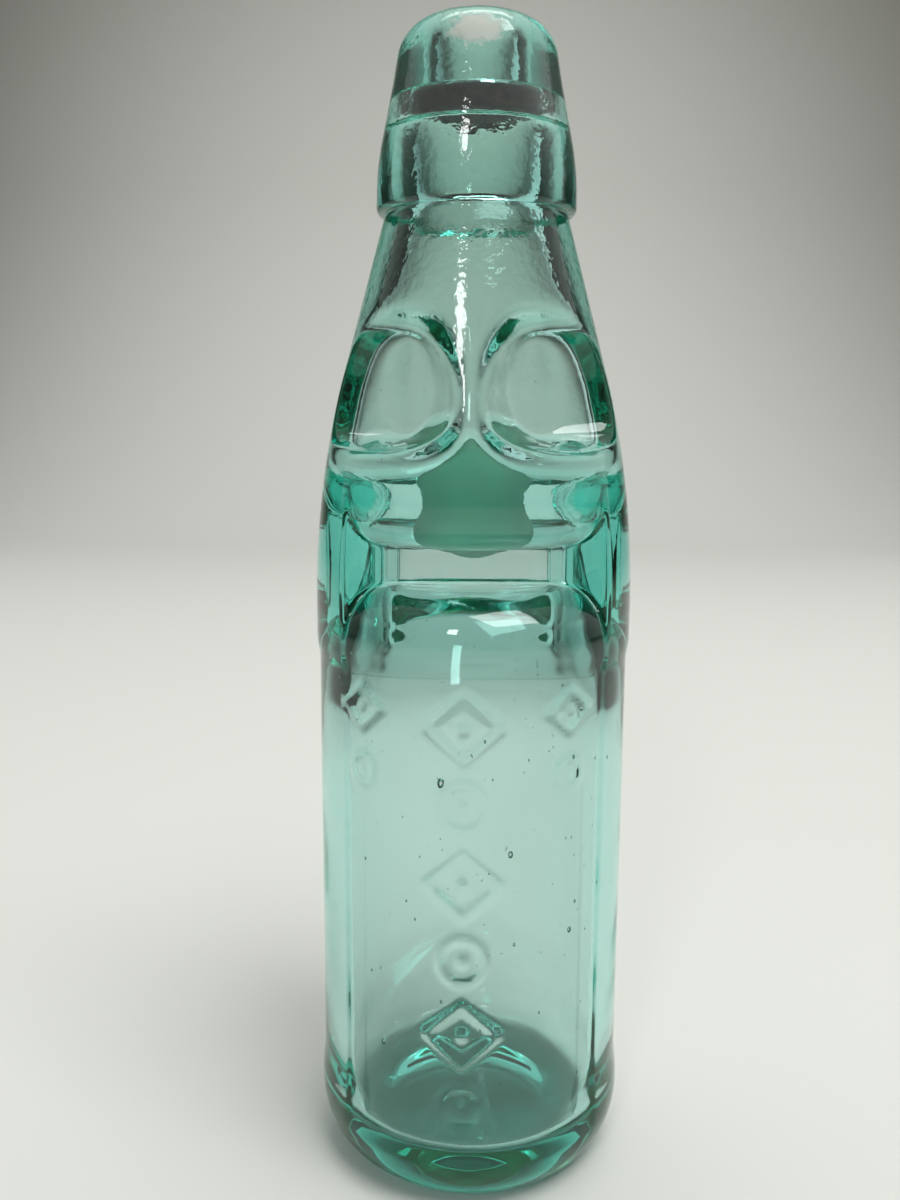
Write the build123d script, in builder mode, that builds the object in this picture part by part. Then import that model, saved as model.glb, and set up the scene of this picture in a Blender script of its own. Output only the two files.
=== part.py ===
from build123d import *
import os
from math import atan, radians, sqrt, tan

os.makedirs("parts", exist_ok=True)

# A marble-stoppered soda bottle of thick green glass, in millimetres. A gas-tight marble
# is held against a rubber ring in the mouth, and drops to the waist when it is pushed in.
# The origin is the middle of the base, +Z runs up to the mouth, and -Y is the front,
# where the two dimples are. Heights are measured from the surface that it stands on.

# Marble, and the room that it has in the bore and at both ends of its travel
marble_radius = 9.5
bore_clearance = 0.5
ledge_clearance = 0.2
seal_clearance = 0.2

# Bottle body
body_radius = 29.0
bottle_height = 206.5
wall = 4.5
shoulder_step = 4.9
neck_wall = 6.2
neck_length = 29.0
neck_end_rise = 7.6
neck_end_wall = 4.6
bore_rise = 1.6

# Base: the rounded heel, the thick floor and the push-up under it
heel_width = 9.0
heel_height = 12.0
floor_height = 9.7
floor_rise = 1.6
inner_heel = 3.5
standing_ring = 2.5
push_up_depth = 3.0

# Waist: a notch pressed in at the front and one at the back, which leave the marble a ledge.
# The back notch reaches lower, and the round bowl of the marble chamber hangs over both.
chamber_length = 27.9
waist_gap = 6.5
shoulder_drop = 5.0
ledge_bite = 1.0
flank_inset = 12.0
flank_angle = 45.0
notch_rounding = 10.0
notch_runout = 0.3
back_drop = 4.8
bowl_start = 18.9
bowl_rounding = 9.2
bowl_inset = 1.2
panel_corner = 1.2
ledge_rounding = 4.0

# Dimples: two flat-bottomed hollows in the front of the marble chamber
dimple_angle = 40.0
dimple_drop = 0.9
dimple_clearance = 3.3
dimple_floor_half_width = 6.2
dimple_floor_half_height = 8.3
dimple_width_slope_share = 2.8
dimple_height_slope_share = 0.28
dimple_floor_edge = 0.5

# Applied lip: laid round the neck end and tooled to a taper above a beaded edge
lip_length = 32.1
bead_overhang = 1.4
bead_rise = 2.6
bead_rounding = 1.3
collar_taper = 1.0
collar_rise = 12.4
groove_depth = 1.4
groove_rise = 13.9
groove_width = 5.3
groove_wall = 2.6
crown_length = 7.1
mouth_radius = 5.9
mouth_rounding = 1.0

# Sealing ring: rubber, of nearly square section
ring_grip = 2.5
ring_rounding = 1.3
ring_clearance = 0.15

overrun = 5.0

# Radii that follow from these sizes
bore_radius = marble_radius + bore_clearance
inner_radius = body_radius - wall
shoulder_radius = body_radius - shoulder_step
inner_shoulder_radius = shoulder_radius - wall
seat_radius = bore_radius + neck_wall
neck_end_radius = bore_radius + neck_end_wall
push_up_radius = body_radius - heel_width - standing_ring
panel_distance = marble_radius - ledge_bite + wall
panel_half_width = body_radius - flank_inset
dimple_floor_distance = marble_radius + dimple_clearance + wall
bead_radius = seat_radius + bead_overhang
collar_radius = bead_radius - collar_taper
groove_radius = bore_radius + groove_depth
lip_radius = groove_radius + groove_wall
crown_radius = mouth_radius + mouth_rounding
ring_inner_radius = marble_radius - ring_grip
ring_outer_radius = groove_radius - ring_clearance

# Heights that follow, from the top down
lip_height = bottle_height - crown_length
seat_height = bottle_height - lip_length
neck_end_height = seat_height + neck_end_rise
bore_height = seat_height + bore_rise
bead_height = seat_height + bead_rise
collar_height = seat_height + collar_rise
groove_bottom = seat_height + groove_rise
groove_top = groove_bottom + groove_width
ring_top = groove_top - ring_clearance
shoulder_height = seat_height - neck_length
dimple_height = shoulder_height - dimple_drop
waist_top = shoulder_height - chamber_length
waist_bottom = waist_top - waist_gap
straight_height = waist_bottom - shoulder_drop

# The marble rests on the rounded edges of the ledge, front and back
ledge_center_distance = panel_distance - wall + ledge_rounding
ledge_center_height = waist_top + wall - ledge_rounding
marble_reach = marble_radius + ledge_rounding + ledge_clearance
marble_height = ledge_center_height + sqrt(marble_reach**2 - ledge_center_distance**2)

# It stops against the rounded lower edge of the sealing ring
seal_reach = marble_radius + ring_rounding + seal_clearance
seal_offset = ring_inner_radius + ring_rounding
marble_top_height = groove_bottom + ring_rounding - sqrt(seal_reach**2 - seal_offset**2)


def sphere_cap_radius(half_width, rise):
    """The radius of the sphere whose cap has this half width and rise."""
    return (half_width**2 + rise**2) / (2 * rise)


def flank_shift(slope_angle):
    """How far a flank at this angle to its floor moves out, a wall thickness deeper."""
    return wall * tan(slope_angle / 2)


def waist_cutter(depth, drop, corner):
    """One notch: a rounded groove round the bottle, kept only in front of its flat panel.

    A depth of nothing gives the outside. The inside follows a wall thickness deeper.
    """
    distance = panel_distance - depth
    half_width = panel_half_width + depth * tan(radians(flank_angle) / 2)
    bottom = waist_bottom - depth - drop
    top = waist_top + depth
    rounding_start = body_radius - notch_rounding
    runout_radius = body_radius - depth + notch_runout
    shoulder_end = (runout_radius, waist_bottom - notch_rounding - drop)
    bowl_end = (runout_radius - bowl_inset, waist_top + bowl_rounding)
    outer_end = body_radius - depth + overrun
    reach = body_radius + overrun
    spread = half_width + reach * tan(radians(90 - flank_angle))
    with BuildPart() as cutter:
        with BuildSketch(Plane.XZ):
            with BuildLine():
                Polyline((rounding_start, bottom), (0, bottom), (0, top), (bowl_start, top))
                TangentArc((rounding_start, bottom), shoulder_end, tangent=(1, 0))
                TangentArc((bowl_start, top), bowl_end, tangent=(1, 0))
                Polyline(
                    shoulder_end,
                    (outer_end, shoulder_end[1]),
                    (outer_end, bowl_end[1]),
                    bowl_end,
                )
            make_face()
        revolve(axis=Axis.Z)
        with BuildSketch(Plane.XY.offset(shoulder_end[1])):
            with BuildLine():
                Polyline(
                    (-half_width, -distance),
                    (half_width, -distance),
                    (spread, -distance - reach),
                    (-spread, -distance - reach),
                    close=True,
                )
            make_face()
        extrude(amount=bowl_end[1] - shoulder_end[1], mode=Mode.INTERSECT)
        panel = cutter.faces().sort_by(Axis.Y)[-1]
        fillet(panel.edges(), corner)
    return cutter.part


def dimple_cutter(distance, half_width, half_height):
    """One dimple: an oval cone that widens outward from a flat floor at this distance."""
    outward = Vector(0, -1, 0).rotate(Axis.Z, dimple_angle)
    facing = Plane(origin=(0, 0, dimple_height), x_dir=outward.rotate(Axis.Z, 90), z_dir=outward)
    reach = body_radius + overrun - distance
    with BuildPart() as cutter:
        with BuildSketch(facing.offset(distance)):
            Ellipse(half_width, half_height)
        with BuildSketch(facing.offset(distance + reach)):
            Ellipse(
                half_width + reach * dimple_width_slope_share,
                half_height + reach * dimple_height_slope_share,
            )
        loft(ruled=True)
        floor = cutter.faces().sort_by(Axis((0, 0, 0), outward))[0]
        fillet(floor.edges(), dimple_floor_edge)
    return cutter.part


def press_in(front_notch, back_notch, dimple):
    """Take both notches and both dimples out of the part that is being built."""
    add([front_notch, back_notch.mirror(Plane.XZ)], mode=Mode.SUBTRACT)
    add([dimple, dimple.mirror(Plane.YZ)], mode=Mode.SUBTRACT)


outer_front_notch = waist_cutter(0, 0, panel_corner)
outer_back_notch = waist_cutter(0, back_drop, panel_corner)
outer_dimple = dimple_cutter(
    dimple_floor_distance, dimple_floor_half_width, dimple_floor_half_height
)

# The inside follows the pressings a wall thickness deeper.
inner_front_notch = waist_cutter(wall, 0, ledge_rounding)
inner_back_notch = waist_cutter(wall, back_drop, ledge_rounding)
inner_dimple = dimple_cutter(
    dimple_floor_distance - wall,
    dimple_floor_half_width + flank_shift(atan(1 / dimple_width_slope_share)),
    dimple_floor_half_height + flank_shift(atan(1 / dimple_height_slope_share)),
)

# Cavity: the lower chamber, the slot at the waist, the marble chamber and the neck bore
with BuildPart() as cavity:
    with BuildSketch(Plane.XZ):
        with BuildLine():
            Line((0, floor_height + floor_rise), (0, neck_end_height))
            Polyline(
                (0, neck_end_height),
                (bore_radius, neck_end_height),
                (bore_radius, bore_height),
                (inner_shoulder_radius, shoulder_height),
            )
            TangentArc(
                (inner_radius, straight_height),
                (inner_shoulder_radius, shoulder_height),
                tangent=(0, 1),
            )
            Line((inner_radius, straight_height), (inner_radius, floor_height + inner_heel))
            RadiusArc(
                (inner_radius, floor_height + inner_heel),
                (inner_radius - inner_heel, floor_height),
                inner_heel,
            )
            RadiusArc(
                (0, floor_height + floor_rise),
                (inner_radius - inner_heel, floor_height),
                sphere_cap_radius(inner_radius - inner_heel, floor_rise),
            )
        make_face()
    revolve(axis=Axis.Z)
    press_in(inner_front_notch, inner_back_notch, inner_dimple)

# Bottle body: the blown shell, up to the cut end of the neck inside the lip
with BuildPart() as bottle_body:
    with BuildSketch(Plane.XZ):
        with BuildLine():
            Line((0, push_up_depth), (0, neck_end_height))
            Polyline(
                (0, neck_end_height),
                (neck_end_radius, neck_end_height),
                (seat_radius, seat_height),
                (shoulder_radius, shoulder_height),
            )
            TangentArc(
                (body_radius, straight_height), (shoulder_radius, shoulder_height), tangent=(0, 1)
            )
            Line((body_radius, straight_height), (body_radius, heel_height))
            EllipticalCenterArc(
                (body_radius - heel_width, heel_height),
                heel_width,
                heel_height,
                start_angle=270,
                arc_size=90,
            )
            Line((body_radius - heel_width, 0), (push_up_radius, 0))
            RadiusArc(
                (0, push_up_depth),
                (push_up_radius, 0),
                sphere_cap_radius(push_up_radius, push_up_depth),
            )
        make_face()
    revolve(axis=Axis.Z)
    press_in(outer_front_notch, outer_back_notch, outer_dimple)
    add(cavity.part, mode=Mode.SUBTRACT)
bottle_body.part.label = "bottle_body"

# Applied lip: a collar with a beaded skirt round the neck end, and the ring's groove inside
with BuildPart() as applied_lip:
    with BuildSketch(Plane.XZ):
        with BuildLine():
            Polyline(
                (bore_radius, neck_end_height),
                (neck_end_radius, neck_end_height),
                (seat_radius, seat_height),
                (bead_radius - bead_rounding, seat_height),
            )
            TangentArc(
                (bead_radius - bead_rounding, seat_height),
                (bead_radius, seat_height + bead_rounding),
                tangent=(1, 0),
            )
            Line((bead_radius, seat_height + bead_rounding), (bead_radius, bead_height))
            TangentArc(
                (bead_radius, bead_height), (collar_radius, collar_height), tangent=(0, 1)
            )
            Line((collar_radius, collar_height), (lip_radius, lip_height))
            TangentArc((crown_radius, bottle_height), (lip_radius, lip_height), tangent=(1, 0))
            RadiusArc(
                (mouth_radius, bottle_height - mouth_rounding),
                (crown_radius, bottle_height),
                mouth_rounding,
            )
            Polyline(
                (mouth_radius, bottle_height - mouth_rounding),
                (mouth_radius, groove_top),
                (groove_radius, groove_top),
                (groove_radius, groove_bottom),
                (bore_radius, groove_bottom),
                (bore_radius, neck_end_height),
            )
        make_face()
    revolve(axis=Axis.Z)
applied_lip.part.label = "applied_lip"

# Sealing ring: lies on the floor of the groove, with a little room round it and above it
with BuildPart() as sealing_ring:
    with BuildSketch(Plane.XZ):
        with Locations(
            ((ring_inner_radius + ring_outer_radius) / 2, (groove_bottom + ring_top) / 2)
        ):
            RectangleRounded(
                ring_outer_radius - ring_inner_radius, ring_top - groove_bottom, ring_rounding
            )
    revolve(axis=Axis.Z)
sealing_ring.part.label = "sealing_ring"

# Marble: at rest on the rounded edges of the ledge, and its travel up to the ring
with BuildPart() as marble:
    with Locations((0, 0, marble_height)):
        Sphere(marble_radius)
marble.part.label = "marble"

print("marble rests at", marble_height, "and travels", marble_top_height - marble_height)

export_step(bottle_body.part, "parts/bottle_body.step")
export_step(applied_lip.part, "parts/applied_lip.step")
export_step(sealing_ring.part, "parts/sealing_ring.step")
export_step(marble.part, "parts/marble.step")
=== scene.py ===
import bpy
import numpy as np
from mathutils import Matrix, Vector


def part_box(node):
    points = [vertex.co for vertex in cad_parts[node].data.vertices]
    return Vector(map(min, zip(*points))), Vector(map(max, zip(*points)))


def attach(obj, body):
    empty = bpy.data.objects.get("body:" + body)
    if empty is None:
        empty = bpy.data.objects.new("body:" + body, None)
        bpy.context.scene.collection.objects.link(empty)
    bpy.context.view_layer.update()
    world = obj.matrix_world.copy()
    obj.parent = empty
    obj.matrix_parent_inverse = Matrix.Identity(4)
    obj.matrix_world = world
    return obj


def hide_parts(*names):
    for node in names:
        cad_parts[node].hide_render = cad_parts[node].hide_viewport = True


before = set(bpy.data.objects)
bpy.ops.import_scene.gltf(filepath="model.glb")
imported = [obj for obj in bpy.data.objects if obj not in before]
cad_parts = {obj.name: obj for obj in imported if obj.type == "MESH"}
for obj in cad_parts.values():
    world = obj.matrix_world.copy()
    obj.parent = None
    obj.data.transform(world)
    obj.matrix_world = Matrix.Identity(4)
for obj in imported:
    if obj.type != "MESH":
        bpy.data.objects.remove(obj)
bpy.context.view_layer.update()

# The camera: a phone held 0.2 m from the bottle, at two thirds of its height, tipped a
# little down, so that the foot draws in and the rim of the mouth just shows.
MM = 0.001
FOCAL_SHARE = 1080 / 1200
SENSOR_HEIGHT = 36.0
CAMERA_PLACE = (-4.3, -199.4, 138.6)
CAMERA_TIP, CAMERA_ROLL = np.radians([9.3, 0.3])

camera_data = bpy.data.cameras.new("camera")
camera_data.sensor_fit = "VERTICAL"
camera_data.sensor_height = SENSOR_HEIGHT
camera_data.lens = FOCAL_SHARE * SENSOR_HEIGHT
camera = bpy.data.objects.new("camera", camera_data)
bpy.context.scene.collection.objects.link(camera)
camera.matrix_world = (
    Matrix.Translation(np.array(CAMERA_PLACE) * MM)
    @ Matrix.Rotation(np.pi / 2 - CAMERA_TIP, 4, "X")
    @ Matrix.Rotation(CAMERA_ROLL, 4, "Z")
)
bpy.context.scene.camera = camera

# The bottle's glass. The body is pale green bottle glass, blown and pressed in a mould, and
# the lip is a second gather of it, laid round the cut neck and tooled while hot. The two are
# fused, so that one closed skin, outside and inside, stands for both. Its plain wall is 4.5 mm.
BODY_RADIUS, HEEL_WIDTH, HEEL_HEIGHT = 29.0, 9.0, 12.0
PUSH_UP_RADIUS, PUSH_UP_DEPTH = 17.5, 3.0
STRAIGHT_HEIGHT = 106.0
SHOULDER_RADIUS, SHOULDER_HEIGHT = 24.1, 145.4
SEAT_RADIUS, SEAT_HEIGHT = 16.2, 174.4
INNER_RADIUS, INNER_SHOULDER_RADIUS = 24.5, 19.6
FLOOR_HEIGHT, FLOOR_RISE, INNER_HEEL = 9.7, 1.6, 3.5
BORE_RADIUS, BORE_HEIGHT = 10.0, 176.0
BEAD_RADIUS, BEAD_HEIGHT, BEAD_ROUNDING = 17.6, 177.0, 1.3
COLLAR_RADIUS, COLLAR_HEIGHT = 16.6, 186.8
GROOVE_RADIUS, GROOVE_BOTTOM, GROOVE_TOP, GROOVE_CORNER = 11.4, 188.3, 193.6, 0.5
LIP_RADIUS, LIP_HEIGHT = 14.0, 199.4
CROWN_RADIUS, BOTTLE_HEIGHT = 6.9, 206.5
MOUTH_RADIUS, MOUTH_ROUNDING = 5.9, 1.0
BORE_ROUNDING, SEAT_STEP = 0.3, 0.1


def line(start, end, count):
    """Profile points (r, z) evenly from start up to, but without, end."""
    share = np.linspace(0, 1, count, endpoint=False)[:, None]
    return np.array(start) + share * (np.array(end) - np.array(start))


def arc(center, radii, start, end, count):
    """Profile points: center + radii * (cos a, sin a), with a from start to end in degrees."""
    angle = np.radians(np.linspace(start, end, count, endpoint=False))
    return np.array(center) + np.array(radii) * np.column_stack([np.cos(angle), np.sin(angle)])


def tangent_arc(start, end, direction, count):
    """Profile points on the circle that leaves start in a direction and passes through end.

    Its radius is chord squared over twice the chord's part across the direction, and its
    angle is twice the angle between the chord and the direction.
    """
    start, end = np.array(start), np.array(end)
    direction = np.array(direction) / np.hypot(*direction)
    across = np.array([-direction[1], direction[0]])
    chord = end - start
    radius = (chord @ chord) / (2 * (chord @ across))
    turn = 2 * np.arctan2(chord @ across, chord @ direction)
    angle = np.linspace(0, turn, count, endpoint=False)[:, None]
    return start + radius * (np.sin(angle) * direction + (1 - np.cos(angle)) * across)


def wall_line(radius, shoulder_radius, top):
    """A wall's profile above the heel: straight, a tangent arc to the shoulder, and a cone."""
    return np.vstack([
        line((radius, 0), (radius, STRAIGHT_HEIGHT), 2),
        tangent_arc((radius, STRAIGHT_HEIGHT), (shoulder_radius, SHOULDER_HEIGHT), (0, 1), 60),
        [(shoulder_radius, SHOULDER_HEIGHT), top],
    ])


outer_wall = wall_line(BODY_RADIUS, SHOULDER_RADIUS, (SEAT_RADIUS, SEAT_HEIGHT))
inner_wall = wall_line(INNER_RADIUS, INNER_SHOULDER_RADIUS, (BORE_RADIUS, BORE_HEIGHT))


def on_wall(wall, z):
    """The radius of a wall's profile at these heights."""
    return np.interp(z, wall[:, 1], wall[:, 0])


# The pressings. Front and back, a tool pushes the soft glass in to a flat panel between two
# rounded shoulders, so that the marble can't fall below it, and two thumb marks above them
# catch the marble while the bottle is poured. An edge is (start radius, rounding, height).
PANEL_DISTANCE, PANEL_HALF_WIDTH = 13.0, 17.0
PANEL_CORNER, LEDGE_CORNER = 3.0, 0.4
FLANK_SLOPE = np.sqrt(0.5)
BOWL, SHOULDER = (18.9, 9.2, 126.7), (19.0, 10.0, 101.0)
BACK_DROP = 4.8
DIMPLE_ANGLE, DIMPLE_SWING = np.radians([40.0, -3.0])
DIMPLE_HEIGHT, DIMPLE_FLOOR = 144.5, 17.3
DIMPLE_HALF_WIDTH, DIMPLE_WIDTH_SLOPE = 6.2, 2.8
DIMPLE_HALF_HEIGHT, DIMPLE_HEIGHT_SLOPE = 8.3, 0.28
DIMPLE_FLOOR_CORNER = 0.35
NOTCH_RIM, DIMPLE_RIM = 1.2, 1.0
BACK_DROP_TURN = (1.3, 1.8)

# The inside. The marble chamber narrows like a funnel to a ledge, and a slot between the
# panels leads down to the domed lower chamber. Beside the slot the glass is solid.
FUNNEL_CENTER, FUNNEL_ROUNDING, FUNNEL_FLARE = (12.99, 123.09), 1.9, 0.5
FUNNEL_OVAL, FUNNEL_ROUND_FROM = 0.4, (127.0, 148.0)
DOME_CENTER, DOME_ROUNDING, DOME_FLARE = (13.38, 98.09), 8.88, 0.23
SLOT_HALF_DEPTH, SLOT_HALF_WIDTH, SLOT_SQUARENESS = 9.31, 17.0, 8.0
LEDGE_ROUNDING, SLOT_ROUNDING, WALL_SOFTNESS, SLOT_SOFTNESS = 1.31, 2.96, 2.0, 1.0
DIMPLE_WALL, DIMPLE_SPREAD, DIMPLE_SOFTNESS = 3.0, 2.5, 1.7


def smooth_max(a, b, width):
    """The larger of two distances, rounded off over a width where they are nearly equal."""
    near = np.maximum(width - np.abs(a - b), 0) / width
    return np.maximum(a, b) + near * near * width / 4


def notch_distance(p, side):
    """Distance from the waist's notch at the front, -1, or the back, 1: less than 0 in it.

    Across, it is the larger of the distances to the panel and to the slanted flank beside it;
    upright, the larger of those to the bowl's and the shoulder's rounded edges of revolution.
    Outside their common corner the two add up as the sides of a right angle do.
    """
    x, y, z = p
    depth = PANEL_DISTANCE - side * y
    flank = (np.abs(x) - PANEL_HALF_WIDTH + depth) * FLANK_SLOPE
    across = smooth_max(depth, flank, PANEL_CORNER) + LEDGE_CORNER
    inward = []
    for (start, rounding, center), upward in ((BOWL, -1), (SHOULDER, 1)):
        center = center - (BACK_DROP if side > 0 and upward > 0 else 0)
        out, up = np.hypot(x, y) - start, upward * (z - center)
        edge = np.hypot(np.maximum(out, 0), np.maximum(up, 0)) + np.minimum(np.maximum(out, up), 0)
        inward.append(rounding - edge)
    upright = np.maximum(*inward) + LEDGE_CORNER
    corner = np.hypot(np.maximum(across, 0), np.maximum(upright, 0))
    return corner + np.minimum(np.maximum(across, upright), 0) - LEDGE_CORNER


def dimple_distance(p, side):
    """Distance from the thumb mark on the left, -1, or the right, 1: less than 0 in it.

    It is a flat floor, square to an axis at DIMPLE_ANGLE, in a cone of oval section that
    widens outwards, and behind the floor the cone goes on straight. At an angle round the
    axis the oval's radius is l, and the distance is (radius - l) over the slope's length.
    """
    x, y, z = p
    angle = side * DIMPLE_ANGLE + DIMPLE_SWING
    out = x * np.sin(angle) - y * np.cos(angle) - DIMPLE_FLOOR
    across = x * np.cos(angle) + y * np.sin(angle)
    up = z - DIMPLE_HEIGHT
    wide = DIMPLE_HALF_WIDTH + DIMPLE_WIDTH_SLOPE * np.maximum(out, 0)
    high = DIMPLE_HALF_HEIGHT + DIMPLE_HEIGHT_SLOPE * np.maximum(out, 0)
    radius = np.hypot(across, up) + 1e-6
    side_part, up_part = (across / radius) ** 2, (up / radius) ** 2
    oval = 1 / np.sqrt(side_part / wide**2 + up_part / high**2)
    slope = oval**3 * (
        side_part * DIMPLE_WIDTH_SLOPE / wide**3 + up_part * DIMPLE_HEIGHT_SLOPE / high**3
    )
    cone = (radius - oval - slope * np.minimum(out, 0)) / np.sqrt(1 + slope**2)
    return smooth_max(cone, -out, DIMPLE_FLOOR_CORNER)


def pressed_distance(p, thumbs):
    """Distance outside the bottle's outer skin, with its notches and its thumb marks."""
    x, y, z = p
    d = np.hypot(x, y) - on_wall(outer_wall, z)
    for side in (-1, 1):
        d = smooth_max(d, -notch_distance(p, side), NOTCH_RIM)
        if thumbs:
            d = smooth_max(d, -dimple_distance(p, side), DIMPLE_RIM)
    return d


def settle(p, steps=14):
    """Move points down the slope of the distance, a Newton step at a time, onto the skin."""
    step = 0.01
    for _ in range(steps):
        d = pressed_distance(p, False)
        shifted = [p + step * np.eye(3)[k][:, None, None] for k in range(3)]
        slope = np.stack([(pressed_distance(q, False) - d) / step for q in shifted])
        p = p - np.clip(d, -1, 1) * slope / np.maximum((slope**2).sum(0), 0.2)
    return p


def revolve(profile, turn):
    """Rows of points round the axis: (r sin t, -r cos t, z), with t = 0 at the front."""
    r, z = profile[:, :1], profile[:, 1:]
    return np.stack([r * np.sin(turn), -r * np.cos(turn), z + 0 * turn])


def radius_at(z, turn, thumbs):
    """The pressed skin's radius at a grid of heights.

    The outermost filled place of 36 between the nearest share and just outside the wall is
    found first, and then the way to the next one is halved 14 times.
    """
    outside, nearest, halvings = 0.3, 0.3, 14
    reach = on_wall(outer_wall, z) + outside
    share = np.linspace(nearest, 1, 36)[:, None, None]

    def filled(r):
        place = np.stack([r * np.sin(turn), -r * np.cos(turn), z + 0 * r])
        return pressed_distance(place, thumbs) < 0

    last = len(share) - 1 - np.argmax(filled(share * reach)[::-1], axis=0)
    low, high = share[last, 0, 0] * reach, share[np.minimum(last + 1, len(share) - 1), 0, 0] * reach
    for _ in range(halvings):
        middle = (low + high) / 2
        within = filled(middle)
        low, high = np.where(within, middle, low), np.where(within, high, middle)
    return low


def averaged(field, spread, axis):
    """A field averaged with bell-shaped weights, exp(-n^2 / 2 s^2), over n places either way."""
    places = np.arange(-int(3 * spread), int(3 * spread) + 1)
    weights = np.exp(-(places**2) / (2 * spread**2))
    shares = zip(places, weights / weights.sum())
    return sum(weight * np.roll(field, place, axis) for place, weight in shares)


def widened(field, spread, axis):
    """The largest value of a field within a spread of places either way."""
    return np.max([np.roll(field, place, axis) for place in range(-spread, spread + 1)], axis=0)


def thumb_bulge(heights, turn):
    """How far the thumb marks push the inner skin in at a grid of heights and turns.

    It is what the outer skin less a wall asks for, widened by a spread so that the glass
    stays thick round a mark's edge too, and then averaged over a softness each way, since
    the inside is never touched by the tool and only follows the hot glass.
    """
    pitch, margin, touched = 0.35, 8, 0.05
    z = np.arange(BOWL[2] - margin, BORE_HEIGHT + margin, pitch)
    even = np.linspace(0, 2 * np.pi, 360, endpoint=False)
    level = z[:, None] + 0 * even
    outside = radius_at(level, even, True)
    plain = on_wall(inner_wall, z)[:, None]
    push = np.maximum(plain - np.minimum(outside - DIMPLE_WALL, plain), 0)
    reached = radius_at(level, even, False) - outside > touched
    arc = np.radians(1) * SHOULDER_RADIUS
    push = widened(np.where(reached, push, 0), round(DIMPLE_SPREAD / pitch), 0)
    push = widened(push, round(DIMPLE_SPREAD / arc), 1)
    push = averaged(averaged(push, DIMPLE_SOFTNESS / pitch, 0), DIMPLE_SOFTNESS / arc, 1)
    row = np.clip((heights - z[0]) / pitch, 0, len(z) - 1.001)
    column = (turn / (2 * np.pi) % 1) * len(even) + 0 * heights
    top, left = row.astype(int), column.astype(int)
    down, over = row - top, column - left
    pick = lambda i, j: push[i, j % len(even)]
    upper = pick(top, left) * (1 - over) + pick(top, left + 1) * over
    lower = pick(top + 1, left) * (1 - over) + pick(top + 1, left + 1) * over
    return upper * (1 - down) + lower * down


def shell(radius, z, turn):
    """Rows of points at a radius for each height and turn."""
    return np.stack([radius * np.sin(turn), -radius * np.cos(turn), z + 0 * radius])


def pace(rows, count):
    """Rows again, count of them, so that the points of each column are evenly far apart."""
    gap = np.sqrt((np.diff(rows, axis=1) ** 2).sum(0))
    way = np.vstack([np.zeros(rows.shape[2]), np.cumsum(gap, axis=0)])
    apart = 2.0 * np.arange(rows.shape[2])
    known = (way / way[-1] + apart).T.ravel()
    wanted = (np.linspace(0, 1, count)[:, None] + apart).T.ravel()
    spaced = [np.interp(wanted, known, axis.T.ravel()).reshape(-1, count).T for axis in rows]
    return np.stack(spaced)


def eased(value, start, end):
    """0 before start, 1 after end, and 3t^2 - 2t^3 between them."""
    share = np.clip((value - start) / (end - start), 0, 1)
    return share * share * (3 - 2 * share)


def lowered(center, turn):
    """An edge's height round the bottle, lower at the back by BACK_DROP and eased between."""
    return center - BACK_DROP * eased(np.abs(turn), *BACK_DROP_TURN)


def waist_rows(count, turn):
    """Rows across the outer waist, one path per column, before they settle.

    A path leaves the wall round the bowl's or the shoulder's edge, goes in along its level
    face and then along the panel or flank to the waist's middle, at an even pace.
    """
    lower = lowered(SHOULDER[2], turn)
    middle = (lower + SHOULDER[1] + BOWL[2] - BOWL[1]) / 2
    share = np.linspace(0, 1, count)[:, None]
    halves = []
    for (start, rounding, center), toward in ((SHOULDER, 1), (BOWL, -1)):
        center = lower if toward > 0 else center + 0 * turn
        plain_z = center + (middle - center) * share
        radius = on_wall(outer_wall, plain_z)
        x = radius * np.sin(turn)
        plain_y = np.sqrt(np.maximum(radius**2 - x**2, 0))
        deep = PANEL_DISTANCE + np.maximum(np.abs(x) - PANEL_HALF_WIDTH, 0)
        cut = deep < plain_y
        reach = (np.hypot(x, deep) - start) / rounding
        bend = np.arccos(np.clip(reach, 0, 1))
        flat_from = np.sqrt(np.maximum(start**2 - x**2, 0))
        level = np.where(reach < 0, flat_from - deep, 0)
        meet_z = center + toward * rounding * np.sin(bend)
        s = share * (rounding * bend + level + np.abs(middle - meet_z))
        on_bend = s < rounding * bend
        on_level = ~on_bend & (s < rounding * bend + level)
        angle = np.minimum(s / rounding, bend)
        ring = np.minimum(start + rounding * np.cos(angle), radius)
        y = np.where(on_bend, np.sqrt(np.maximum(ring**2 - x**2, 0)), deep)
        y = np.where(on_level, flat_from - (s - rounding * bend), y)
        z = center + toward * rounding * np.sin(angle)
        z = np.where(on_bend | on_level, z, meet_z + toward * (s - rounding * bend - level))
        y, z = np.where(cut, y, plain_y), np.where(cut, z, plain_z)
        halves.append(np.stack([x, -np.sign(np.cos(turn)) * y, z]))
    return np.concatenate([halves[0], halves[1][:, -2::-1]], axis=1)


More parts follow.
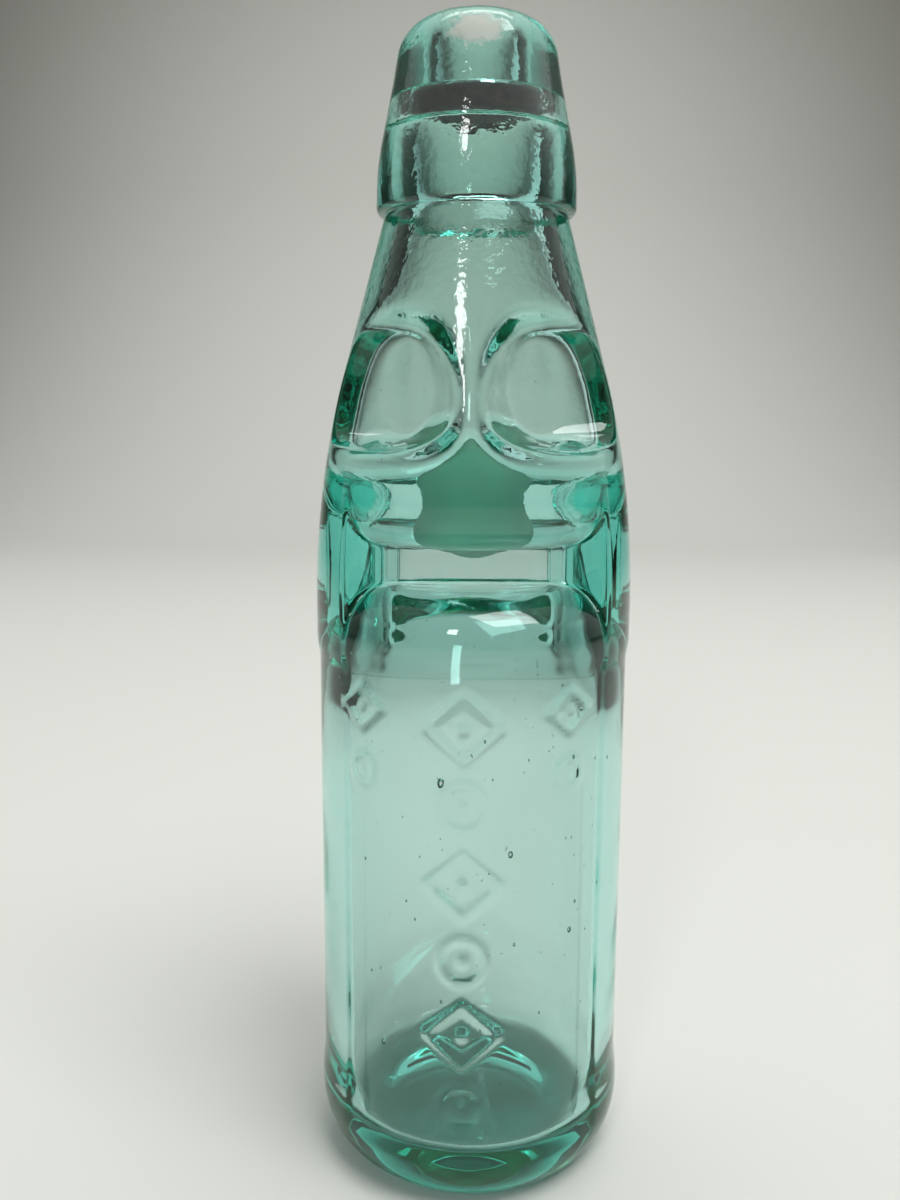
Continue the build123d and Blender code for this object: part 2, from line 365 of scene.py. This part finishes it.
def chamber_radius(z, turn):
    """The radius inside: the funnel above, the dome below, and between them the slot.

    Funnel and dome are an arc that runs on as a cone up to the plain wall. The slot is an
    oval of power SLOT_SQUARENESS, whose edges round off by r - sqrt(r^2 - h^2). It ends at the
    funnel, since it is wider than the neck and would cut through it further up.
    """
    def cup(up, center, rounding, flare):
        lean = np.arctan(flare)
        arc_part = center + np.sqrt(np.maximum(rounding**2 - np.minimum(up, 0) ** 2, 0))
        cone_from = -rounding * np.sin(lean)
        cone = center + rounding * np.cos(lean) + flare * (up - cone_from)
        return np.where(up < cone_from, arc_part, cone)

    drop_z = z + SHOULDER[2] - lowered(SHOULDER[2], turn)
    plain = np.minimum(on_wall(inner_wall, z), INNER_RADIUS)
    funnel = cup(z - FUNNEL_CENTER[1], FUNNEL_CENTER[0], FUNNEL_ROUNDING, FUNNEL_FLARE)
    oval = FUNNEL_OVAL * (1 - eased(z, *FUNNEL_ROUND_FROM))
    funnel = funnel / np.sqrt(1 - oval * np.sin(turn) ** 2)
    dome = cup(DOME_CENTER[1] - drop_z, DOME_CENTER[0], DOME_ROUNDING, DOME_FLARE)
    funnel, dome = (-smooth_max(-plain, -cone, WALL_SOFTNESS) for cone in (funnel, dome))
    oval = (np.abs(np.sin(turn)) / SLOT_HALF_WIDTH) ** SLOT_SQUARENESS
    oval = oval + (np.abs(np.cos(turn)) / SLOT_HALF_DEPTH) ** SLOT_SQUARENESS
    slot = oval ** (-1 / SLOT_SQUARENESS) + 0 * z
    ledge = FUNNEL_CENTER[1] - FUNNEL_ROUNDING
    ceiling = DOME_CENTER[1] + DOME_ROUNDING
    edge = slot
    for rounding, beyond, start in (
        (LEDGE_ROUNDING, z - ledge, FUNNEL_CENTER[0]),
        (SLOT_ROUNDING, ceiling - drop_z, DOME_CENTER[0]),
    ):
        rounding = np.clip(start - slot, 0.05, rounding)
        into = np.clip(beyond + rounding, 0, rounding)
        edge = edge + rounding - np.sqrt(np.maximum(rounding**2 - into**2, 0))
    above = eased(z, FUNNEL_CENTER[1] - FUNNEL_ROUNDING, FUNNEL_CENTER[1] + FUNNEL_ROUNDING)
    upper = smooth_max(funnel, slot - SLOT_HALF_WIDTH * above, SLOT_SOFTNESS)
    lower = smooth_max(dome, slot, SLOT_SOFTNESS)
    return np.where(z > ledge, upper, np.where(drop_z < ceiling, lower, edge))


# columns round the bottle, closer together towards the front
half_turn = np.radians(np.concatenate([
    np.linspace(0, 20, 21, endpoint=False),
    np.linspace(20, 76, 40, endpoint=False),
    np.linspace(76, 104, 22, endpoint=False),
    np.linspace(104, 180, 24),
]))
turn = np.concatenate([half_turn, -half_turn[-2:0:-1]])

foot = np.vstack([
    tangent_arc((0, PUSH_UP_DEPTH), (PUSH_UP_RADIUS, 0), (1, 0), 7)[1:],
    line((PUSH_UP_RADIUS, 0), (BODY_RADIUS - HEEL_WIDTH, 0), 2),
    arc((BODY_RADIUS - HEEL_WIDTH, HEEL_HEIGHT), (HEEL_WIDTH, HEEL_HEIGHT), 270, 360, 12),
])
side_share = np.linspace(0, 1, 108, endpoint=False)[:, None]
NECK_ROWS = 52
neck_heights = np.linspace(BOWL[2], SEAT_HEIGHT, 150)
lip = np.vstack([
    line((SEAT_RADIUS + SEAT_STEP, SEAT_HEIGHT), (BEAD_RADIUS - BEAD_ROUNDING, SEAT_HEIGHT), 1),
    arc((BEAD_RADIUS - BEAD_ROUNDING, SEAT_HEIGHT + BEAD_ROUNDING), (BEAD_ROUNDING,) * 2, 272, 360, 6),
    line((BEAD_RADIUS, SEAT_HEIGHT + BEAD_ROUNDING), (BEAD_RADIUS, BEAD_HEIGHT), 2),
    tangent_arc((BEAD_RADIUS, BEAD_HEIGHT), (COLLAR_RADIUS, COLLAR_HEIGHT), (0, 1), 8),
    line((COLLAR_RADIUS, COLLAR_HEIGHT), (LIP_RADIUS, LIP_HEIGHT), 4),
    tangent_arc((CROWN_RADIUS, BOTTLE_HEIGHT), (LIP_RADIUS, LIP_HEIGHT), (1, 0), 12)[::-1],
    arc((CROWN_RADIUS, BOTTLE_HEIGHT - MOUTH_ROUNDING), (MOUTH_ROUNDING, MOUTH_ROUNDING), 100, 180, 5),
    line((MOUTH_RADIUS, BOTTLE_HEIGHT - MOUTH_ROUNDING), (MOUTH_RADIUS, GROOVE_TOP + GROOVE_CORNER), 4),
    arc((MOUTH_RADIUS + GROOVE_CORNER, GROOVE_TOP + GROOVE_CORNER), (GROOVE_CORNER,) * 2, 180, 270, 4),
    line((MOUTH_RADIUS + GROOVE_CORNER, GROOVE_TOP), (GROOVE_RADIUS - GROOVE_CORNER, GROOVE_TOP), 3),
    arc((GROOVE_RADIUS - GROOVE_CORNER, GROOVE_TOP - GROOVE_CORNER), (GROOVE_CORNER,) * 2, 90, 0, 4),
    line((GROOVE_RADIUS, GROOVE_TOP - GROOVE_CORNER), (GROOVE_RADIUS, GROOVE_BOTTOM + GROOVE_CORNER), 4),
    arc((GROOVE_RADIUS - GROOVE_CORNER, GROOVE_BOTTOM + GROOVE_CORNER), (GROOVE_CORNER,) * 2, 0, -90, 4),
    line((GROOVE_RADIUS - GROOVE_CORNER, GROOVE_BOTTOM), (BORE_RADIUS + BORE_ROUNDING, GROOVE_BOTTOM), 2),
    arc((BORE_RADIUS + BORE_ROUNDING, GROOVE_BOTTOM - BORE_ROUNDING), (BORE_ROUNDING,) * 2, 90, 180, 3),
    line((BORE_RADIUS, GROOVE_BOTTOM - BORE_ROUNDING), (BORE_RADIUS, BORE_HEIGHT), 4),
])
inner_side = np.vstack([
    arc((INNER_RADIUS - INNER_HEEL, FLOOR_HEIGHT + INNER_HEEL), (INNER_HEEL, INNER_HEEL), 0, -90, 7),
    tangent_arc((0, FLOOR_HEIGHT + FLOOR_RISE), (INNER_RADIUS - INNER_HEEL, FLOOR_HEIGHT), (1, 0), 8)[:0:-1],
])

# Raised work on the front, moulded with the body: plain lozenges, rings and bosses, in a tall
# middle column and a short one on each side.
STROKE, STROKE_EDGE, RELIEF = 1.4, 1.0, 0.5
MOTIF_PITCH, MOTIF_WIDTH, MOTIF_HEIGHT, BOSS = 13.6, 6.6, 5.6, 1.1
MIDDLE_COLUMN, MIDDLE_TOP, MIDDLE_COUNT = -2.0, 89.0, 6
SIDE_COLUMNS, SIDE_TOP, SIDE_COUNT, SIDE_SHARE = (-21.5, 17.5), 91.0, 2, 0.62
SIDE_PITCH_SHARE, HOOP_SHARE, FAR = 0.8, 0.72, 9.0
SUNK_FROM, SUNK_TO = (13, 20), (96, 100)


def lozenge(across, up, size):
    """Distance from a lozenge's outline: | |u|/a + |z|/b - 1 | over its slope's length."""
    a, b = MOTIF_WIDTH * size, MOTIF_HEIGHT * size
    return np.abs(np.abs(across) / a + np.abs(up) / b - 1) / np.hypot(1 / a, 1 / b)


def hoop(across, up, size):
    """Distance from a circle's outline: | radius - r |."""
    return np.abs(np.hypot(across, up) - HOOP_SHARE * MOTIF_HEIGHT * size)


def raised(turn, z):
    """How far the moulded work stands up: its height within a stroke, with a soft edge."""
    nearest = np.full(np.broadcast(turn, z).shape, FAR)
    columns = [(MIDDLE_COLUMN, MIDDLE_TOP, MIDDLE_COUNT, 1.0)]
    columns += [(place, SIDE_TOP, SIDE_COUNT, SIDE_SHARE) for place in SIDE_COLUMNS]
    for place, top, count, size in columns:
        for number in range(count):
            across = BODY_RADIUS * turn - place
            up = z - top + number * MOTIF_PITCH * (SIDE_PITCH_SHARE if size < 1 else 1.0)
            outline = hoop if number % 2 else lozenge
            boss = np.hypot(across, up) - BOSS * size + STROKE / 2
            nearest = np.minimum(nearest, np.minimum(outline(across, up, size), boss))
    share = np.clip((STROKE / 2 - nearest) / STROKE_EDGE + 0.5, 0, 1)
    return RELIEF * share * share * (3 - 2 * share)


def moved_out(rows, distance):
    """Rows moved away from the axis by a distance at each point."""
    radius = np.hypot(rows[0], rows[1])
    grown = (radius + distance) / np.maximum(radius, 1e-6)
    return np.stack([rows[0] * grown, rows[1] * grown, rows[2]])


side_z = HEEL_HEIGHT + side_share * (lowered(SHOULDER[2], turn) - HEEL_HEIGHT)
side_rows = settle(shell(BODY_RADIUS + 0 * side_z, side_z, turn), 4)
# the wall between heel and shoulder lies back by the relief, so that the raised work ends at
# the body's full radius
sunk = eased(side_rows[2], *SUNK_FROM) * (1 - eased(side_rows[2], *SUNK_TO))
side_rows = moved_out(side_rows, raised(turn, side_rows[2]) - RELIEF * sunk)
neck_z = neck_heights[:, None] + 0 * turn

# the inside, in stretches of rows (top, bottom, count) that lie closer together at the waist,
# where they also follow the lower edge of the back notch
THUMBS_END = 128.0
FOLLOW_HEIGHTS, FOLLOW_SHARES = (88, 103, 110, 118), (0, 1, 1, 0)
STRETCHES = (
    (BORE_HEIGHT, THUMBS_END, 44), (THUMBS_END, 103.0, 56), (103.0, 88.0, 8),
    (88.0, FLOOR_HEIGHT + INNER_HEEL, 8),
)
drop = SHOULDER[2] - lowered(SHOULDER[2], turn)
inner_rows = []
for top, bottom, count in STRETCHES:
    z = np.linspace(top, bottom, 300)[:, None]
    z = z - drop * np.interp(z, FOLLOW_HEIGHTS, FOLLOW_SHARES)
    radius = chamber_radius(z, turn)
    if bottom == THUMBS_END:
        radius = radius - thumb_bulge(z, turn)
    inner_rows.append(pace(shell(radius, z, turn), count)[:, :-1])

rows = np.concatenate([
    revolve(foot, turn),
    side_rows,
    settle(waist_rows(34, turn)),
    pace(shell(radius_at(neck_z, turn, True), neck_z, turn), NECK_ROWS)[:, 1:],
    revolve(lip, turn),
    *inner_rows,
    revolve(inner_side, turn),
], axis=1)


def closed_grid(rows):
    """Points and faces of rows round the axis, closed by a fan of triangles at each end."""
    count, columns = rows.shape[1:]
    ends = np.stack([rows[:, 0].mean(axis=1), rows[:, -1].mean(axis=1)])
    points = np.vstack([rows.reshape(3, -1).T, ends]) * MM
    row = np.arange(count - 1)[:, None] * columns
    here = np.arange(columns)
    after = np.roll(here, -1)
    quads = np.stack([row + here, row + after, row + after + columns, row + here + columns], -1)
    top = (count - 1) * columns
    start, end = np.full(columns, len(points) - 2), np.full(columns, len(points) - 1)
    fans = np.vstack([
        np.column_stack([start, after, here]),
        np.column_stack([end, top + here, top + after]),
    ])
    return points, quads.reshape(-1, 4), fans


def piece_from(name, parts):
    """One smooth object from several closed grids."""
    points, faces, first = [], [], 0
    for part_points, quads, fans in parts:
        points += part_points.tolist()
        faces += (quads + first).tolist() + (fans + first).tolist()
        first += len(part_points)
    mesh = bpy.data.meshes.new(name)
    mesh.from_pydata(points, [], faces)
    mesh.polygons.foreach_set("use_smooth", np.ones(len(mesh.polygons), bool))
    mesh.update()
    piece = bpy.data.objects.new(name, mesh)
    bpy.context.scene.collection.objects.link(piece)
    return piece


def linear(hex_color):
    """An sRGB hex colour as the linear values that Blender's sockets take."""
    value = np.array([int(hex_color[i:i + 2], 16) for i in (1, 3, 5)]) / 255
    value = np.where(value <= 0.04045, value / 12.92, ((value + 0.055) / 1.055) ** 2.4)
    return (*value, 1.0)


def new_material(name):
    """A material with an empty node tree."""
    material = bpy.data.materials.new(name)
    material.use_nodes = True
    material.node_tree.nodes.clear()
    return material


def node(material, kind, inputs=None, **settings):
    """Add a shader node: settings are its properties, and inputs are values or links."""
    made = material.node_tree.nodes.new(kind)
    for key, value in settings.items():
        setattr(made, key, value)
    for key, value in (inputs or {}).items():
        if isinstance(value, bpy.types.NodeSocket):
            material.node_tree.links.new(value, made.inputs[key])
        else:
            made.inputs[key].default_value = value
    return made


# Pale green soda glass, the green from iron in its sand, so that it deepens with the way that
# light goes through it. Blown and pressed, its skin is smooth but sways a little, and where the
# neck was reheated and tooled it is rippled and a little hazy. Washing and use dulled the lip.
# Sizes: the sway is 18 mm across, the ripples 1.6 mm and the patch's grain 1.1 mm. The dark
# specks of dirt are at most 0.4 mm across and lie some 14 mm apart.
NECK_FROM, NECK_TO = 0.105, 0.178
LIP_FROM, LIP_TO, LIP_BLOOM = 0.174, 0.19, 0.07
LIP_INSIDE, LIP_OUTSIDE = 0.0121, 0.0132
SWAY_DEPTH, RIPPLE_DEPTH = 0.00025, 0.00008
bottle_glass = new_material("green_bottle_glass")
place = node(bottle_glass, "ShaderNodeTexCoord")
apart = node(bottle_glass, "ShaderNodeSeparateXYZ", {"Vector": place.outputs["Object"]})
height = node(bottle_glass, "ShaderNodeMapRange", {
    "Value": apart.outputs["Z"], "From Min": NECK_FROM, "From Max": NECK_TO,
    "To Min": 0.0, "To Max": 1.0,
}, interpolation_type="SMOOTHSTEP")
film = node(bottle_glass, "ShaderNodeMix", {
    "Factor": height.outputs["Result"], "A": (0.90, 0.92, 0.91, 1), "B": (0.93, 0.94, 0.91, 1),
}, data_type="RGBA")
haze = node(bottle_glass, "ShaderNodeMapRange", {
    "Value": height.outputs["Result"], "To Min": 0.015, "To Max": 0.05,
})
# the chipped, rough patch on the front of the lip
PATCH_PLACE, PATCH_REACH = (-0.0005, -0.0125, 0.2012), (0.0052, 0.008, 0.0030)
offset = node(bottle_glass, "ShaderNodeVectorMath", {
    0: place.outputs["Object"], 1: PATCH_PLACE,
}, operation="SUBTRACT")
offset = node(bottle_glass, "ShaderNodeVectorMath", {
    0: offset.outputs["Vector"], 1: PATCH_REACH,
}, operation="DIVIDE")
offset = node(bottle_glass, "ShaderNodeVectorMath", {0: offset.outputs["Vector"]}, operation="LENGTH")
grain = node(bottle_glass, "ShaderNodeTexNoise", {
    "Vector": place.outputs["Object"], "Scale": 900.0, "Detail": 3.0,
})
offset = node(bottle_glass, "ShaderNodeMath", {
    0: offset.outputs["Value"], 1: grain.outputs["Fac"],
}, operation="ADD")
patch = node(bottle_glass, "ShaderNodeMapRange", {
    "Value": offset.outputs[0], "From Min": 1.05, "From Max": 1.5, "To Min": 1.0, "To Max": 0.0,
})
# specks of dirt on the skin
cells = node(bottle_glass, "ShaderNodeTexVoronoi", {"Vector": place.outputs["Object"], "Scale": 230.0})
speck = node(bottle_glass, "ShaderNodeMapRange", {
    "Value": cells.outputs["Distance"], "From Min": 0.025, "From Max": 0.05, "To Min": 0.35, "To Max": 1.0,
})
film = node(bottle_glass, "ShaderNodeMix", {
    "Factor": patch.outputs["Result"], "A": film.outputs["Result"], "B": linear("#e4e6de"),
}, data_type="RGBA")
film = node(bottle_glass, "ShaderNodeVectorMath", {
    0: film.outputs["Result"], 1: speck.outputs["Result"],
}, operation="MULTIPLY")
haze = node(bottle_glass, "ShaderNodeMath", {
    0: haze.outputs["Result"], 1: patch.outputs["Result"],
}, operation="ADD", use_clamp=True)
# the lip's bloom lies on its outside only, by the distance from the axis
flat = node(bottle_glass, "ShaderNodeVectorMath", {
    0: place.outputs["Object"], 1: (1, 1, 0),
}, operation="MULTIPLY")
radius = node(bottle_glass, "ShaderNodeVectorMath", {0: flat.outputs["Vector"]}, operation="LENGTH")
outside = node(bottle_glass, "ShaderNodeMapRange", {
    "Value": radius.outputs["Value"], "From Min": LIP_INSIDE, "From Max": LIP_OUTSIDE,
    "To Min": 0.0, "To Max": 1.0,
})
bloom = node(bottle_glass, "ShaderNodeMapRange", {
    "Value": apart.outputs["Z"], "From Min": LIP_FROM, "From Max": LIP_TO,
    "To Min": 0.0, "To Max": LIP_BLOOM,
}, interpolation_type="SMOOTHSTEP")
bloom = node(bottle_glass, "ShaderNodeMath", {
    0: bloom.outputs["Result"], 1: outside.outputs["Result"],
}, operation="MULTIPLY")
cloud = node(bottle_glass, "ShaderNodeMath", {
    0: patch.outputs["Result"], 1: bloom.outputs[0],
}, operation="MAXIMUM")
clear = node(bottle_glass, "ShaderNodeMapRange", {
    "Value": cloud.outputs[0], "To Min": 1.0, "To Max": 0.35,
})
sway = node(bottle_glass, "ShaderNodeTexNoise", {
    "Vector": place.outputs["Object"], "Scale": 55.0, "Detail": 1.0,
})
tooled = node(bottle_glass, "ShaderNodeTexNoise", {
    "Vector": place.outputs["Object"], "Scale": 620.0, "Detail": 2.0,
})
ripple = node(bottle_glass, "ShaderNodeMath", {
    0: tooled.outputs["Fac"], 1: height.outputs["Result"],
}, operation="MULTIPLY")
dent = node(bottle_glass, "ShaderNodeBump", {
    "Height": sway.outputs["Fac"], "Distance": SWAY_DEPTH, "Strength": 1.0,
})
dent = node(bottle_glass, "ShaderNodeBump", {
    "Height": ripple.outputs[0], "Distance": RIPPLE_DEPTH, "Strength": 1.0,
    "Normal": dent.outputs["Normal"],
})
surface = node(bottle_glass, "ShaderNodeBsdfPrincipled", {
    "Base Color": film.outputs["Vector"], "Roughness": haze.outputs[0], "IOR": 1.51,
    "Transmission Weight": clear.outputs["Result"], "Normal": dent.outputs["Normal"],
})
tint = node(bottle_glass, "ShaderNodeVolumeAbsorption", {"Color": (0.30, 0.87, 0.81, 1), "Density": 72.0})
node(bottle_glass, "ShaderNodeOutputMaterial", {"Surface": surface.outputs[0], "Volume": tint.outputs[0]})

# Bubbles blown into the wall: voids, whose skins face into the air. Four are large, at set
# places (turn in degrees, height, radius), and the rest are seeds scattered round the wall.
LARGE_BUBBLES = ((-12.0, 79.3, 0.65), (13.0, 66.8, 0.45), (38.0, 51.0, 0.4), (-35.0, 30.0, 0.4))
SEED_COUNT, SEED_SIZES, SEED_DEPTH, SEED_HEIGHTS = 80, (0.1, 0.26), 26.7, (20, 104)
BUBBLE_STRETCH = 1.5
rng = np.random.default_rng(7)
seeds = np.column_stack([
    rng.uniform(-180, 180, SEED_COUNT),
    rng.uniform(*SEED_HEIGHTS, SEED_COUNT),
    rng.uniform(*SEED_SIZES, SEED_COUNT),
])


def bubble(turn, height, radius):
    """A void: a sphere half as tall again as wide, its rows running down to turn it inside out."""
    lat = np.radians(np.linspace(90, -90, 7))[1:-1][:, None]
    lon = np.linspace(0, 2 * np.pi, 8, endpoint=False)[None, :]
    upright = BUBBLE_STRETCH * np.sin(lat) + 0 * lon
    ball = np.stack([np.cos(lat) * np.sin(lon), -np.cos(lat) * np.cos(lon), upright])
    middle = (SEED_DEPTH * np.sin(np.radians(turn)), -SEED_DEPTH * np.cos(np.radians(turn)), height)
    return closed_grid(radius * ball + np.reshape(middle, (3, 1, 1)))


voids = [bubble(*sizes) for sizes in (*LARGE_BUBBLES, *seeds)]
glass = piece_from("bottle_glass", [closed_grid(rows), *voids])
glass.data.materials.append(bottle_glass)
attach(glass, "bottle")
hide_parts("bottle_body", "applied_lip")

# Marble: a loose ball of darker glass on the ledge at the waist, pressed and fire-polished,
# and dulled by years of rolling in the bottle.
marble_low, marble_high = (np.array(corner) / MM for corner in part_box("marble"))
marble_center = (marble_low + marble_high) / 2
marble_radius = (marble_high[2] - marble_low[2]) / 2
lat = np.radians(np.linspace(-90, 90, 66))[1:-1][:, None]
lon = np.linspace(0, 2 * np.pi, 96, endpoint=False)[None, :]
ball = np.stack([np.cos(lat) * np.sin(lon), -np.cos(lat) * np.cos(lon), np.sin(lat) + 0 * lon])
ball = ball * marble_radius + marble_center[:, None, None]
marble = piece_from("marble_ball", [closed_grid(ball)])
# fine scratches all over its skin spread the light, so that little shows through it clearly
marble_glass = new_material("marble_glass")
surface = node(marble_glass, "ShaderNodeBsdfPrincipled", {
    "Base Color": linear("#d4f0e0"), "Roughness": 0.55, "IOR": 1.51, "Transmission Weight": 0.72,
})
tint = node(marble_glass, "ShaderNodeVolumeAbsorption", {"Color": (0.42, 0.83, 0.68, 1), "Density": 40.0})
node(marble_glass, "ShaderNodeOutputMaterial", {"Surface": surface.outputs[0], "Volume": tint.outputs[0]})
marble.data.materials.append(marble_glass)
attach(marble, "marble")
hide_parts("marble")

# Sealing ring: moulded rubber of nearly square section, aged brown-black, pressed into the
# lip's groove through the mouth. The marble has worn its inner edge unevenly.
RING_GAP, RING_SQUARENESS, RING_WEAR = 0.04, 0.62, 0.16
ring_low, ring_high = (np.array(corner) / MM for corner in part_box("sealing_ring"))
RING_OUTER, RING_INNER = ring_high[0], 7.0
section = np.linspace(0, 2 * np.pi, 30, endpoint=False)[:, None]
ring_turn = np.linspace(0, 2 * np.pi, 180, endpoint=False)[None, :]
half_wide = (RING_OUTER - RING_INNER) / 2 - RING_GAP
half_high = (ring_high[2] - ring_low[2]) / 2 - RING_GAP
out = np.sign(np.cos(section)) * np.abs(np.cos(section)) ** RING_SQUARENESS
up = np.sign(np.sin(section)) * np.abs(np.sin(section)) ** RING_SQUARENESS
# worn by up to RING_WEAR round the inside, in three broad hollows and eight shallower ones
worn = RING_WEAR * (1.6 + np.sin(3 * ring_turn + 1) + 0.6 * np.sin(8 * ring_turn + 2)) / 3.2
worn = worn * np.maximum(-out, 0)
ring_radius = (RING_OUTER + RING_INNER) / 2 + half_wide * out + worn
ring_height = (ring_high[2] + ring_low[2]) / 2 + half_high * up - worn * up
ring_points = shell(ring_radius, ring_height, ring_turn)


def closed_loop(rows):
    """Points and faces of rows that close on themselves round the section and round the axis."""
    count, columns = rows.shape[1:]
    number = np.arange(count * columns).reshape(count, columns)
    beside = np.roll(number, -1, 1)
    quads = np.stack([number, beside, np.roll(beside, -1, 0), np.roll(number, -1, 0)], -1)
    return rows.reshape(3, -1).T * MM, quads.reshape(-1, 4), np.zeros((0, 3), int)


ring = piece_from("ring_rubber", [closed_loop(ring_points)])
# matt, browner in blotches of some 2.4 mm where it has aged, with pores of 0.4 mm
rubber = new_material("aged_ring_rubber")
place = node(rubber, "ShaderNodeTexCoord")
blotch = node(rubber, "ShaderNodeTexNoise", {
    "Vector": place.outputs["Object"], "Scale": 420.0, "Detail": 4.0,
})
bloom = node(rubber, "ShaderNodeMapRange", {
    "Value": blotch.outputs["Fac"], "From Min": 0.45, "From Max": 0.75, "To Min": 0.0, "To Max": 1.0,
})
shade = node(rubber, "ShaderNodeMix", {
    "Factor": bloom.outputs["Result"], "A": linear("#241715"), "B": linear("#54392c"),
}, data_type="RGBA")
pores = node(rubber, "ShaderNodeTexNoise", {
    "Vector": place.outputs["Object"], "Scale": 2600.0, "Detail": 2.0,
})
dent = node(rubber, "ShaderNodeBump", {"Height": pores.outputs["Fac"], "Distance": 0.00005})
surface = node(rubber, "ShaderNodeBsdfPrincipled", {
    "Base Color": shade.outputs["Result"], "Roughness": 0.62, "IOR": 1.5, "Normal": dent.outputs["Normal"],
})
node(rubber, "ShaderNodeOutputMaterial", {"Surface": surface.outputs[0]})
ring.data.materials.append(rubber)
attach(ring, "bottle")
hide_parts("sealing_ring")

# Floor and backdrop: one sheet of pale paper, level under the bottle and swept up behind it. It
# lies a little under the foot, so that paper and glass don't share a plane.
FLOOR_BACK, SWEEP_RADIUS, WALL_TOP = 1000.0, 500.0, 2200.0
FOOT_GAP = 0.05
FLOOR_FRONT, FLOOR_HALF_WIDTH = -2200.0, 3000.0
sweep = np.vstack([
    line((FLOOR_FRONT, 0), (FLOOR_BACK, 0), 24),
    tangent_arc((FLOOR_BACK, 0), (FLOOR_BACK + SWEEP_RADIUS, SWEEP_RADIUS), (1, 0), 24),
    line((FLOOR_BACK + SWEEP_RADIUS, SWEEP_RADIUS), (FLOOR_BACK + SWEEP_RADIUS, WALL_TOP), 12),
])
across = np.linspace(-FLOOR_HALF_WIDTH, FLOOR_HALF_WIDTH, 40)
sheet = np.stack([
    across[None, :] + 0 * sweep[:, :1], sweep[:, :1] + 0 * across, sweep[:, 1:] + 0 * across - FOOT_GAP,
], -1) * MM
i = np.arange(len(sweep) - 1)[:, None] * len(across)
j = np.arange(len(across) - 1)[None, :]
quads = np.stack([i + j, i + j + 1, i + j + 1 + len(across), i + j + len(across)], -1)
floor_mesh = bpy.data.meshes.new("paper_sweep")
floor_mesh.from_pydata(sheet.reshape(-1, 3).tolist(), [], quads.reshape(-1, 4).tolist())
floor_mesh.polygons.foreach_set("use_smooth", np.ones(len(floor_mesh.polygons), bool))
floor = bpy.data.objects.new("paper_sweep", floor_mesh)
bpy.context.scene.collection.objects.link(floor)
# painted shade: palest round the bottle, and painted darker beyond PALE_TO of its reach in metres, where the
# light falls off towards the far floor and the top of the backdrop
PALE_REACH, PALE_TO, DARK_FROM = (0.75, 1.9, 0.8), 0.7, 1.95
paper = new_material("paper_with_painted_shade")
place = node(paper, "ShaderNodeTexCoord")
spread = node(paper, "ShaderNodeVectorMath", {
    0: place.outputs["Object"], 1: PALE_REACH,
}, operation="DIVIDE")
away = node(paper, "ShaderNodeVectorMath", {0: spread.outputs["Vector"]}, operation="LENGTH")
falloff = node(paper, "ShaderNodeMapRange", {
    "Value": away.outputs["Value"], "From Min": PALE_TO, "From Max": DARK_FROM,
    "To Min": 0.0, "To Max": 1.0,
}, interpolation_type="SMOOTHSTEP")
# the darker colour is painted shade standing in for the light's falloff, not a colour of the paper itself
shade = node(paper, "ShaderNodeMix", {
    "Factor": falloff.outputs["Result"], "A": linear("#dddfd9"), "B": linear("#5d5850"),
}, data_type="RGBA")
surface = node(paper, "ShaderNodeBsdfDiffuse", {"Color": shade.outputs["Result"]})
node(paper, "ShaderNodeOutputMaterial", {"Surface": surface.outputs[0]})
floor.data.materials.append(paper)

# Light: a pale room, bright behind and above and dim in front, with a narrow soft box in front
# on the left, a wide one above on the right, and one over the bottle that lights the backdrop.
BRIGHT_TOWARD = (0.2, 0.8, 0.56)
WALL_BOX_PLACE, WALL_BOX_AIM, WALL_BOX_SIZE, WALL_BOX_POWER = (0, 0.35, 1.3), (0, 1.15, -0.85), 0.8, 8.0
world = bpy.data.worlds.new("studio")
bpy.context.scene.world = world
world.use_nodes = True
world.node_tree.nodes.clear()
sky = node(world, "ShaderNodeTexCoord")
toward = node(world, "ShaderNodeVectorMath", {
    0: sky.outputs["Generated"], 1: BRIGHT_TOWARD,
}, operation="DOT_PRODUCT")
level = node(world, "ShaderNodeMapRange", {
    "Value": toward.outputs["Value"], "From Min": -0.2, "From Max": 0.9, "To Min": 0.12, "To Max": 0.85,
}, interpolation_type="SMOOTHSTEP")
glow = node(world, "ShaderNodeBackground", {
    "Color": (1.0, 0.995, 0.975, 1), "Strength": level.outputs["Result"],
})
node(world, "ShaderNodeOutputWorld", {"Surface": glow.outputs[0]})

for name, azimuth, lift, away, size, power in (
    ("strip_box", -16.0, 31.0, 0.8, (0.09, 0.19), 0.9),
    ("top_box", 40.0, 62.0, 1.3, (0.7, 0.7), 11.5),
):
    lamp = bpy.data.lights.new(name, "AREA")
    lamp.shape, lamp.energy = "RECTANGLE", power
    lamp.size, lamp.size_y = size
    holder = bpy.data.objects.new(name, lamp)
    azimuth, lift = np.radians([azimuth, lift])
    spot = away * np.array([np.sin(azimuth) * np.cos(lift), -np.cos(azimuth) * np.cos(lift), np.sin(lift)])
    holder.location = spot + np.array([0, 0, 0.15])
    holder.rotation_euler = Vector(-spot).to_track_quat("-Z", "Y").to_euler()
    bpy.context.scene.collection.objects.link(holder)

wall_lamp = bpy.data.lights.new("wall_box", "AREA")
wall_lamp.energy, wall_lamp.size = WALL_BOX_POWER, WALL_BOX_SIZE
wall_box = bpy.data.objects.new("wall_box", wall_lamp)
wall_box.location = WALL_BOX_PLACE
wall_box.rotation_euler = Vector(WALL_BOX_AIM).to_track_quat("-Z", "Y").to_euler()
bpy.context.scene.collection.objects.link(wall_box)

bpy.context.scene.view_settings.view_transform = "Standard"
bpy.context.scene.cycles.max_bounces = 40
bpy.context.scene.cycles.transmission_bounces = 40
bpy.context.scene.cycles.glossy_bounces = 40
